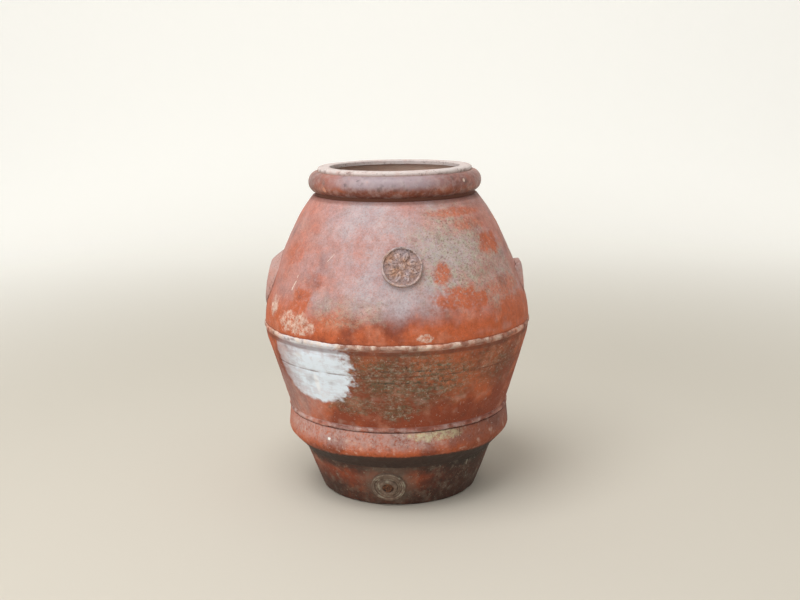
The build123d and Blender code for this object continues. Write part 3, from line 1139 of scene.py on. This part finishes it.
def worn(surface, body, proud, hollow, proud_share, hollow_share):
    """Pale crust on what stands proud and dark grime in the hollows, from the mesh's wear."""
    body = surface.coat(body, hollow, surface.ease(surface.wear, -0.15, -0.8), hollow_share)
    return surface.coat(body, proud, surface.ease(surface.wear, 0.15, 0.75), proud_share)


def shoulder_layers(surface):
    """Colour of the shoulder, from the orange band at the girth to the film under the rim, a lime film that
    also stands for painted sky sheen.
    """
    body = fired_clay(surface, 0.35)
    rise = surface.uneven(0.09, 0.06, 4, 0.6, shift=11)
    # Lime film and painted sky sheen together, growing towards the upward-facing top of the shoulder
    film_and_sheen_high = surface.ease(rise, 0.615, 0.70)
    clouds = surface.clouds(0.30, 0.62, 0.12, 5, 0.62, shift=12.5)
    front = surface.patch(-6, 0.76, 42, 0.20, soft=0.5, ragged=0.5, size=0.09)
    left = surface.patch(-62, 0.74, 34, 0.22, soft=0.6, ragged=0.6, size=0.08, shift=3)
    cover = surface.scale(front, 0.40, 0.54)
    cover = surface.scale(left, -0.16, cover)
    fine = surface.clouds(0.2, 0.62, 0.0042, 3, 0.7, shift=13)
    film = surface.times(film_and_sheen_high, surface.scale(clouds, 0.45, 0.55), cover)
    film = surface.times(film, surface.scale(fine, 0.5, 0.62))
    grit = surface.clouds(0.30, 0.50, 0.009, 4, 0.72, shift=22)
    bare = surface.times(surface.patches(BARE_CLAY, 23), grit)
    film = surface.times(film, surface.sum("SUBTRACT", 1, bare))
    thicker = surface.noise(0.1, 4, 0.6, shift=14)
    film_and_sheen_tint = surface.coat(surface.tints["bloom_and_sheen"], "lilac", thicker)
    body = surface.mix(film, body, film_and_sheen_tint)

    growth = surface.patches(SHOULDER_LICHEN, 5)
    growth = surface.times(growth, surface.sum("SUBTRACT", 1, surface.times(bare, 0.9)))
    flecks = surface.clouds(0.45, 0.58, 0.016, 8, 0.88, shift=15)
    body = surface.coat(body, "lichen", growth, surface.scale(flecks, 0.75, 0.06))
    dark = surface.times(surface.specks(0.0032, 0.55, shift=16), surface.scale(growth, 0.4, 0.22))
    body = surface.coat(body, "umber", dark)
    snow = surface.times(growth, surface.clouds(0.56, 0.66, 0.012, 8, 0.9, shift=10))
    body = surface.coat(body, "crust", snow, 0.7)
    white = surface.specks(0.0045, 0.10, shift=17)
    body = surface.coat(body, "crust", white, 0.75)

    crusted = surface.patches(SHOULDER_CRUST, 18)
    body = surface.coat(body, "crust", crusted, surface.clouds(0.42, 0.58, 0.02, 8, 0.85, shift=21), 0.7)
    lump = surface.patch(11, 0.552, 3.2, 0.011, ragged=0.7, size=0.008, shift=22)
    body = surface.coat(body, "crust", lump, flecks, 0.85)
    seam = surface.between(surface.height, 0.520, 0.5375, 0.003)
    body = surface.coat(body, "umber", seam, 0.5)
    # Painted shade: an umber band under the rim's roll
    shade_under_rim = surface.between(surface.height, 0.906, 0.93, 0.004)
    return surface.coat(body, "umber", shade_under_rim, 0.45)


def shoulder_clay(surface):
    """Shoulder course: orange clay under a pinkish film of lime and painted sky sheen, with lichen to the
    right.
    """
    body = shoulder_layers(surface)
    mottled = surface.clouds(0.32, 0.68, 0.035, 9, 0.86, shift=41)
    body = surface.shade(body, mottled, 0.17)
    body = worn(surface, body, "bloom_and_sheen", "umber", 0.25, 0.45)
    scratches = surface.most(
        scratch(surface, -52.6, 0.676, 0.034, 0.0030, 0.45),
        scratch(surface, -51.5, 0.702, 0.010, 0.0020, 0.2),
        scratch(surface, -33, 0.764, 0.034, 0.0010, 0.75),
    )
    body = surface.coat(body, "crust", scratches, 0.85)
    roughness = surface.varied(0.52, 0.3, 0.02, 3, 0.6, shift=40)
    return surface.finish(body, roughness, grain(surface))


def scratch(surface, turn, height, reach, thick, lean):
    """A short scraped line: its middle, half length and half width, and how far it leans."""
    across = surface.times(surface.sum("SUBTRACT", surface.turn, turn), math.radians(SCRATCHED_REACH))
    rise = surface.sum("SUBTRACT", surface.height, height)
    turn_cos, turn_sin = math.cos(lean), math.sin(lean)
    side = surface.sum("ADD", surface.times(across, turn_cos), surface.times(rise, -turn_sin))
    along = surface.sum("ADD", surface.times(across, turn_sin), surface.times(rise, turn_cos))
    wobble = surface.times(surface.sum("SUBTRACT", surface.noise(0.01, 2), 0.5), thick * 3)
    side = surface.sum("ABSOLUTE", surface.sum("ADD", side, wobble))
    near = surface.ease(side, thick, thick * 0.4)
    return surface.times(near, surface.ease(surface.sum("ABSOLUTE", along), reach / 2, reach * 0.35))


def seal_clay(surface):
    """Seal: the shoulder's clay, greyer, with dark hollows and worn crests."""
    body = surface.coat(fired_clay(surface, 0.6), "lichen", 0.52)
    body = surface.coat(body, "lilac", surface.clouds(0.3, 0.8, 0.03, 6, 0.72, shift=50))
    body = worn(surface, body, "bloom_and_sheen", "umber", 0.22, 0.32)
    body = surface.shade(body, surface.clouds(0.35, 0.65, 0.012, 6, 0.85, shift=52), 0.3)
    body = surface.coat(body, "grime_and_shadow", surface.specks(0.004, 0.5, shift=51), 0.6)
    return surface.finish(body, 0.8, grain(surface))


def ear_clay(surface):
    """Ears: brown clay under a mauve-grey film."""
    film = surface.clouds(0.2, 0.75, 0.05, 6, 0.7, shift=55)
    body = surface.coat(fired_clay(surface, 0.7), "bloom_and_sheen", surface.scale(film, 0.4, 0.35))
    body = surface.coat(body, "umber", surface.specks(0.006, 0.4, shift=56), 0.6)
    body = worn(surface, body, "bloom_and_sheen", "umber", 0.25, 0.35)
    return surface.finish(body, 0.75, grain(surface))


def belly_clay(surface):
    """Belly and lower wall: red clay, dark growth in front, and a broad patch of salt."""
    body = fired_clay(surface, 0.85)
    growth = surface.patches(BELLY_GROWTH, 61)
    flecks = surface.clouds(0.42, 0.58, 0.014, 6, 0.8, squash=(1, 1, 1.3), shift=68)
    bands = surface.clouds(0.48, 0.60, 0.09, 4, 0.6, squash=(1, 1, 9), shift=69)
    cover = surface.times(growth, surface.scale(flecks, 0.62, 0.3))
    cover = surface.times(cover, surface.scale(bands, 0.35, 0.75))
    body = surface.coat(body, "olive", cover)
    pale = surface.clouds(0.5, 0.6, 0.016, 8, 0.88, squash=(1, 1, 1.6), shift=70)
    body = surface.coat(body, "lichen", growth, pale, 0.6)
    black = surface.times(growth, surface.specks(0.005, 0.45, shift=71), 0.7)
    body = surface.coat(body, "grime_and_shadow", black)

    scored = surface.most(surface.between(surface.height, 0.4185, 0.4225, 0.0015),
                          surface.between(surface.height, 0.4560, 0.4590, 0.0012))
    scored = surface.times(scored, surface.facing(7, 20, 13), 0.75)
    body = surface.coat(body, "grime_and_shadow", scored, flecks)

    dust = surface.patch(-62, 0.33, 22, 0.07, soft=0.6, ragged=0.6, size=0.05, shift=72)
    body = surface.coat(body, "bloom_and_sheen", dust, surface.noise(0.02, 4, 0.65, shift=73), 0.7)
    body = surface.coat(body, "crust", surface.specks(0.0055, 0.25, shift=74), 0.55)
    body = salted(surface, body)
    body = worn(surface, body, "crust", "umber", 0.3, 0.6)
    bead = surface.between(surface.height, 0.5165, 0.5365, 0.0015)
    low_bead = surface.between(surface.height, 0.2597, 0.2762, 0.001)
    limed = surface.scale(surface.ease(surface.wear, -0.6, 0.4), 0.45, 0.25)
    right_end = surface.ease(surface.turn, 20, 60)
    flaked = surface.clouds(0.42, 0.56, 0.03, 8, 0.82, shift=76)
    limed = surface.times(surface.scale(flaked, 0.75, 0.3), limed)
    limed = surface.times(limed, surface.scale(right_end, -0.5, 1.15))
    # The cord's top is paler than its underside: lime crust together with a painted highlight
    on_top = surface.ease(surface.height, 0.520, 0.529)
    limed_and_lit_top = surface.times(limed, surface.scale(on_top, 0.65, 0.35))
    limed_and_lit_top = surface.times(limed_and_lit_top, surface.ease(surface.radius(), 0.396, 0.402))
    body = surface.coat(body, "crust", bead, limed_and_lit_top)
    body = surface.coat(body, "bloom_and_sheen", low_bead, limed, 0.7)
    shadow = surface.between(surface.height, 0.505, 0.5175, 0.003)
    body = surface.coat(body, "umber", shadow, 0.55)
    # Painted shade in the crease between the lower cord and the lower roll
    dark_line = surface.between(surface.height, 0.2555, 0.2605, 0.0008)
    body = surface.coat(body, "grime_and_shadow", dark_line, 0.8)
    roughness = surface.varied(0.60, 0.25, 0.02, 3, 0.6, shift=75)
    return surface.finish(body, roughness, grain(surface))


def salted(surface, body):
    """The broad white patch on the left of the belly, with its drips and its level streaks."""
    broad = surface.patch(-40.5, 0.437, 22, 0.093, up=0.17, soft=0.07, ragged=0.16, size=0.03, shift=81)
    frayed = surface.patch(-40.5, 0.437, 20.5, 0.095, up=0.17, soft=0.14, ragged=0.5, size=0.026, shift=82,
                           squash=(1, 1, 1.5))
    right = surface.ease(surface.turn, -34, -26)
    edge = surface.mix(right, broad, frayed)
    thick = surface.patch(-35, 0.425, 17, 0.08, up=0.085, soft=0.45, ragged=0.5, size=0.04, shift=83)
    clouds = surface.clouds(0.25, 0.6, 0.02, 5, 0.68, shift=84)
    levels = surface.clouds(0.3, 0.6, 0.07, 5, 0.65, squash=(1, 1, 5), shift=85)
    cover = surface.scale(surface.times(clouds, levels), 0.35, 0.45)
    cover = surface.sum("MULTIPLY_ADD", thick, 0.35, cover, clamp=True)
    worn_away = surface.ease(surface.turn, -46, -62)
    cover = surface.times(cover, surface.scale(worn_away, -0.42, 1))
    body = surface.coat(body, "salt", edge, cover)
    drip = surface.patch(-38, 0.405, 1.4, 0.028, soft=0.4, ragged=0.5, size=0.02, shift=86)
    body = surface.mix(surface.times(drip, 0.9), body, WET_SALT)
    seam = surface.between(surface.height, 0.4385, 0.4415, 0.0012)
    broken = surface.clouds(0.35, 0.55, 0.03, 3, 0.6, shift=87)
    return surface.coat(body, "umber", seam, broken, 0.5)


def roll_clay(surface):
    """Lower roll: orange clay, paler on top, with a patch of yellow-green lichen, and painted shade and
    shadow on its underside.
    """
    body = fired_clay(surface, 0.45)
    rise = surface.uneven(0.03, 0.03, 4, 0.6, shift=91)
    upper = surface.ease(rise, 0.205, 0.245)
    front = surface.facing(-25, 62, 30)
    film = surface.times(upper, surface.scale(front, 0.35, 0.25))
    film = surface.times(film, surface.clouds(0.25, 0.6, 0.008, 4, 0.68, shift=92))
    body = surface.coat(body, "bloom_and_sheen", film)
    crust = surface.patch(19, 0.247, 13, 0.016, soft=0.3, ragged=0.8, size=0.012, shift=93)
    behind = surface.patch(-150, 0.24, 20, 0.02, ragged=0.9, size=0.02, shift=94)
    crust = surface.most(crust, surface.times(behind, 0.9))
    grains_of = surface.clouds(0.40, 0.56, 0.014, 8, 0.86, shift=95)
    body = surface.coat(body, "pale_lichen", crust, grains_of, 0.85)
    # Painted shade on the roll's underside, below its crest
    shaded_underside = surface.ease(rise, 0.205, 0.178)
    body = surface.coat(body, "umber", shaded_underside, 0.7)
    right_side = surface.facing(62, 50, 18)
    body = surface.coat(body, "umber", right_side, 0.55)
    body = surface.coat(body, "crust", surface.specks(0.006, 0.28, shift=96), 0.5)
    body = surface.coat(body, "umber", surface.specks(0.006, 0.35, shift=97), 0.45)
    spot = surface.patch(-36.6, 0.225, 0.9, 0.0045, ragged=0.4, size=0.004, shift=98)
    body = surface.mix(spot, body, WHITE_SPOT)
    dark_line = scratch(surface, 31.5, 0.243, 0.034, 0.0011, 0.06)
    body = surface.coat(body, "grime_and_shadow", dark_line, 0.85)
    body = worn(surface, body, "crust", "umber", 0.35, 0.6)
    # Painted shadow under the roll: near black below a wandering edge that reaches higher at the front
    shadow_edge = surface.uneven(0.018, 0.012, 5, 0.7, shift=89)
    ahead = surface.facing(4, 52, 12)
    shadow_edge = surface.scale(ahead, -0.014, shadow_edge)
    under = surface.ease(shadow_edge, 0.187, 0.178)
    body = surface.coat(body, "grime_and_shadow", under, 0.92)
    roughness = surface.varied(0.6, 0.25, 0.02, 3, 0.6, shift=99)
    return surface.finish(body, roughness, grain(surface))


def foot_clay(surface):
    """Foot: red clay gone grey and black with damp and splashes, above all to the right, and painted shadow
    under the lower roll.
    """
    body = fired_clay(surface, 0.8)
    rise = surface.uneven(0.09, 0.045, 5, 0.62, shift=101)
    damp = surface.ease(rise, 0.160, 0.080)
    right = surface.patch(52, 0.09, 34, 0.12, soft=0.5, ragged=0.8, size=0.05, shift=102)
    behind = surface.patch(175, 0.09, 70, 0.10, soft=0.5, ragged=0.9, size=0.06, shift=103)
    dark = surface.most(surface.times(damp, 0.9), surface.times(right, 0.9), surface.times(behind, 0.7))
    fine = surface.clouds(0.2, 0.6, 0.007, 4, 0.7, shift=104)
    body = surface.coat(body, "grime_and_shadow", dark, surface.scale(fine, 0.3, 0.7))
    # Painted shadow on the top of the foot, under the lower roll
    shade_under_roll = surface.ease(rise, 0.140, 0.180)
    body = surface.coat(body, "grime_and_shadow", shade_under_roll, 0.85)
    film = surface.times(surface.clouds(0.48, 0.7, 0.03, 5, 0.66, shift=105), 0.5)
    body = surface.coat(body, "boss", film)
    scrapes = surface.clouds(0.66, 0.71, 0.012, 3, 0.6, squash=(1, 1, 0.25), shift=106, bend=1.2)
    body = surface.coat(body, "lichen", scrapes, right, 0.55)
    round_boss = surface.patch(-7, 0.083, 16, 0.062, soft=0.5, ragged=0.5, size=0.02, shift=107)
    body = surface.coat(body, "boss", round_boss, 0.5)
    body = surface.coat(body, "lichen", surface.specks(0.006, 0.3, shift=108), 0.4)
    body = worn(surface, body, "lichen", "grime_and_shadow", 0.25, 0.6)
    roughness = surface.varied(0.6, 0.3, 0.02, 3, 0.6, shift=109)
    return surface.finish(body, roughness, grain(surface))


def boss_clay(surface):
    """Tap boss: grey film over dark clay, palest on its rings."""
    body = surface.coat(fired_clay(surface, 0.8), "boss", 0.86)
    body = surface.coat(body, "grime_and_shadow", surface.clouds(0.4, 0.65, 0.02, 4, 0.66, shift=111), 0.35)
    body = worn(surface, body, "lichen", "grime_and_shadow", 0.55, 0.35)
    return surface.finish(body, 0.85, grain(surface))


def rim_clay(surface):
    """Rim roll: dark, dense clay with a low gloss, with a painted lilac sheen on its upper front and
    painted shade on its underside.
    """
    body = surface.coat(fired_clay(surface, 0.7), "umber", 0.45)
    rise = surface.uneven(0.018, 0.03, 4, 0.6, shift=121)
    upper = surface.ease(rise, 0.950, 0.972)
    # Painted shade on the rim roll's underside, in umber
    lower = surface.ease(rise, 0.955, 0.935)
    body = surface.coat(body, "umber", lower, 0.85)
    # Painted sheen: the sky's reflection on the roll's upper front, in lilac
    front = surface.facing(-6, 50, 18)
    film = surface.times(upper, surface.scale(front, 0.52, 0.12))
    body = surface.coat(body, "lilac", film)
    dust = surface.clouds(0.42, 0.66, 0.02, 5, 0.68, shift=122)
    body = surface.coat(body, "bloom_and_sheen", dust, 0.3)
    body = surface.coat(body, "grime_and_shadow", surface.specks(0.005, 0.25, shift=123), 0.5)
    for index, (turn, height, size, _) in enumerate(RIM_CHIPS):
        half = math.degrees(size / RIM_REACH)
        spot = surface.patch(turn, height, half, size, soft=0.3, ragged=0.3, size=0.004, shift=124 + index)
        body = surface.coat(body, "salmon" if index else "crust", spot, 0.85)
    body = worn(surface, body, "salmon", "grime_and_shadow", 0.2, 0.5)
    roughness = surface.varied(0.28, 0.3, 0.03, 4, 0.6, shift=130)
    return surface.finish(body, roughness, grain(surface)[1:], specular=0.5)


def inner_clay(surface):
    """Inside of the collar: salmon clay, little weathered; the collar's outside under the rim's roll has
    painted shade.
    """
    body = surface.coat(fired_clay(surface, 0.3), "salmon", 0.5)
    body = surface.coat(body, "crust", surface.varied(0.4, 0.5, 0.03, 4, 0.6, shift=131))
    # Painted shade on the collar's outside, under the rim's roll
    shade_under_roll = surface.ease(surface.radius(), 0.232, 0.236)
    body = surface.coat(body, "umber", shade_under_roll, 0.95)
    return surface.finish(body, 0.85, grain(surface))


def lip_clay(surface):
    """Lip: bleached clay with grey dust and a few dark specks."""
    cover = surface.clouds(0.2, 0.55, 0.02, 5, 0.66, shift=132)
    body = surface.coat(fired_clay(surface, 0.4), "lip", surface.scale(cover, 0.3, 0.64))
    body = surface.coat(body, "umber", surface.specks(0.005, 0.35, shift=133), 0.6)
    body = worn(surface, body, "lip", "umber", 0.5, 0.6)
    return surface.finish(body, 0.7, grain(surface))


def bung_wood(surface):
    """Bung: old wood with dark rings and splits."""
    rings = surface.noise(0.0045, 4, 0.6, shift=141, bend=1.0)
    body = surface.coat(surface.tints["wood_dark"], "wood", surface.ease(rings, 0.35, 0.65))
    body = surface.shade(body, surface.noise(0.0015, 3, 0.7, shift=142), 0.35)
    body = worn(surface, body, "salmon", "grime_and_shadow", 0.3, 0.8)
    return surface.finish(body, 0.85, [(rings, 0.0008), (surface.noise(0.0015, 3, shift=143), 0.0004)])


# The studio. Each lamp is its name, place, size in metres and power in watts
LAMPS = (
    ("soft_key", (-1.5, -2.0, 6.0), 4.6, 252),
    ("soft_fill", (-3.6, -4.8, 2.6), 3.6, 66),
)
LIT_PLACE = (0, 0, 0.5)
SENSOR_WIDTH = 36
AIR = (1, 0.985, 0.95, 1)
AIR_LIGHT, AIR_SEEN = 0.55, 0.88
FLOOR_FRONT, WALL_TOP = -16.0, 12.0
COVE_STEPS = 24
FADE_START, FADE_END = 1.4, 6.5
BACKDROP_GLOW = 0.16


class JAR_OT_stage(bpy.types.Operator):
    """Set the pale floor, the backdrop, the soft light and the camera"""
    bl_idname = "jar.stage"
    bl_label = "Stage"
    bl_options = {"REGISTER", "UNDO"}

    def execute(self, context):
        stage = settings("jar_stage")
        self.floor(stage)
        for lamp in LAMPS:
            self.light(*lamp)
        world = bpy.data.worlds.new("studio_air")
        world.use_nodes = True
        background = world.node_tree.nodes["Background"]
        background.inputs["Color"].default_value = AIR
        seen = world.node_tree.nodes.new("ShaderNodeLightPath").outputs["Is Camera Ray"]
        level = world.node_tree.nodes.new("ShaderNodeMapRange")
        level.inputs["To Min"].default_value = AIR_LIGHT
        level.inputs["To Max"].default_value = AIR_SEEN
        world.node_tree.links.new(seen, level.inputs["Value"])
        world.node_tree.links.new(level.outputs[0], background.inputs["Strength"])
        context.scene.world = world
        camera = bpy.data.cameras.new("camera")
        camera.lens = stage.lens
        camera.sensor_width = SENSOR_WIDTH
        taker = bpy.data.objects.new("camera", camera)
        place = Matrix.Translation((stage.camera_x, stage.camera_y, stage.camera_z))
        look = Matrix.Rotation(math.radians(90) - stage.tilt, 4, "X")
        taker.matrix_world = place @ look @ Matrix.Rotation(-stage.roll, 4, "Z")
        context.scene.collection.objects.link(taker)
        context.scene.camera = taker
        context.scene.view_settings.view_transform = "Standard"
        return DONE

    def floor(self, stage):
        """A floor that turns up into a backdrop, in one sheet."""
        bm = bmesh.new()
        back, cove = stage.wall_back, stage.cove
        angles = np.linspace(0, math.radians(90), COVE_STEPS + 1)
        turned_up = [(back - cove + cove * math.sin(a), cove - cove * math.cos(a)) for a in angles]
        line = [(FLOOR_FRONT, 0)] + turned_up + [(back, WALL_TOP)]
        verts = [bm.verts.new((-stage.floor_width / 2, y, z)) for y, z in line]
        edges = [bm.edges.new(pair) for pair in zip(verts, verts[1:])]
        moved = bmesh.ops.extrude_edge_only(bm, edges=edges)["geom"]
        shifted = [part for part in moved if isinstance(part, bmesh.types.BMVert)]
        bmesh.ops.translate(bm, verts=shifted, vec=(stage.floor_width, 0, 0))
        bmesh.ops.recalc_face_normals(bm, faces=bm.faces)
        mesh = bpy.data.meshes.new("floor")
        bm.to_mesh(mesh)
        bm.free()
        mesh.shade_smooth()
        made = bpy.data.objects.new("floor", mesh)
        bpy.context.scene.collection.objects.link(made)
        surface = Surface("pale_floor")
        far = surface.ease(surface.radius(), FADE_START, FADE_END)
        body = surface.mix(far, tuple(stage.floor), tuple(stage.backdrop))
        mesh.materials.append(surface.finish(body, 0.9, [(surface.noise(0.03, 2), 0.0002)], 0.2))
        surface.shader.inputs["Emission Color"].default_value = AIR
        surface.fill(surface.shader.inputs["Emission Strength"], surface.times(far, BACKDROP_GLOW))
        made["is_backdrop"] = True

    def light(self, name, place, size, energy):
        lamp = bpy.data.lights.new(name, "AREA")
        lamp.shape = "DISK"
        lamp.size = size
        lamp.energy = energy
        made = bpy.data.objects.new(name, lamp)
        made.location = place
        away = np.subtract(place, LIT_PLACE)
        turn = math.atan2(away[1], away[0]) + math.radians(90)
        lean = math.atan2(math.hypot(away[0], away[1]), away[2])
        made.rotation_euler = (lean, 0, turn)
        bpy.context.scene.collection.objects.link(made)


STEPS = (
    JAR_OT_base_slab, JAR_OT_walls, JAR_OT_lower_roll, JAR_OT_cords, JAR_OT_rim,
    JAR_OT_seal, JAR_OT_ears, JAR_OT_tap_boss, JAR_OT_bung, JAR_OT_stage,
)


class VIEW3D_PT_jar(bpy.types.Panel):
    """Lists the steps that build the jar."""
    bl_idname = "VIEW3D_PT_jar"
    bl_label = "Terracotta Storage Jar"
    bl_space_type = "VIEW_3D"
    bl_region_type = "UI"
    bl_category = "Jar"

    def draw(self, context):
        for step in STEPS:
            self.layout.operator(step.bl_idname)
        for group, kind in GROUPS.items():
            self.layout.label(text=group.replace("_", " ").title())
            for name in kind.__annotations__:
                self.layout.prop(getattr(context.scene, group), name)


def register():
    for kind in (*GROUPS.values(), *STEPS, VIEW3D_PT_jar):
        bpy.utils.register_class(kind)
    for group, kind in GROUPS.items():
        setattr(bpy.types.Scene, group, PointerProperty(type=kind))


def unregister():
    for group in GROUPS:
        delattr(bpy.types.Scene, group)
    for kind in (VIEW3D_PT_jar, *reversed(STEPS), *reversed(list(GROUPS.values()))):
        bpy.utils.unregister_class(kind)


def main():
    register()
    for step in STEPS:
        family, name = step.bl_idname.split(".")
        getattr(getattr(bpy.ops, family), name)()
    boxes = {"cad": CAD_BOX, "visual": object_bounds()}
    boxes = {name: [list(corner) for corner in box] for name, box in boxes.items()}


if __name__ == "__main__":
    main()
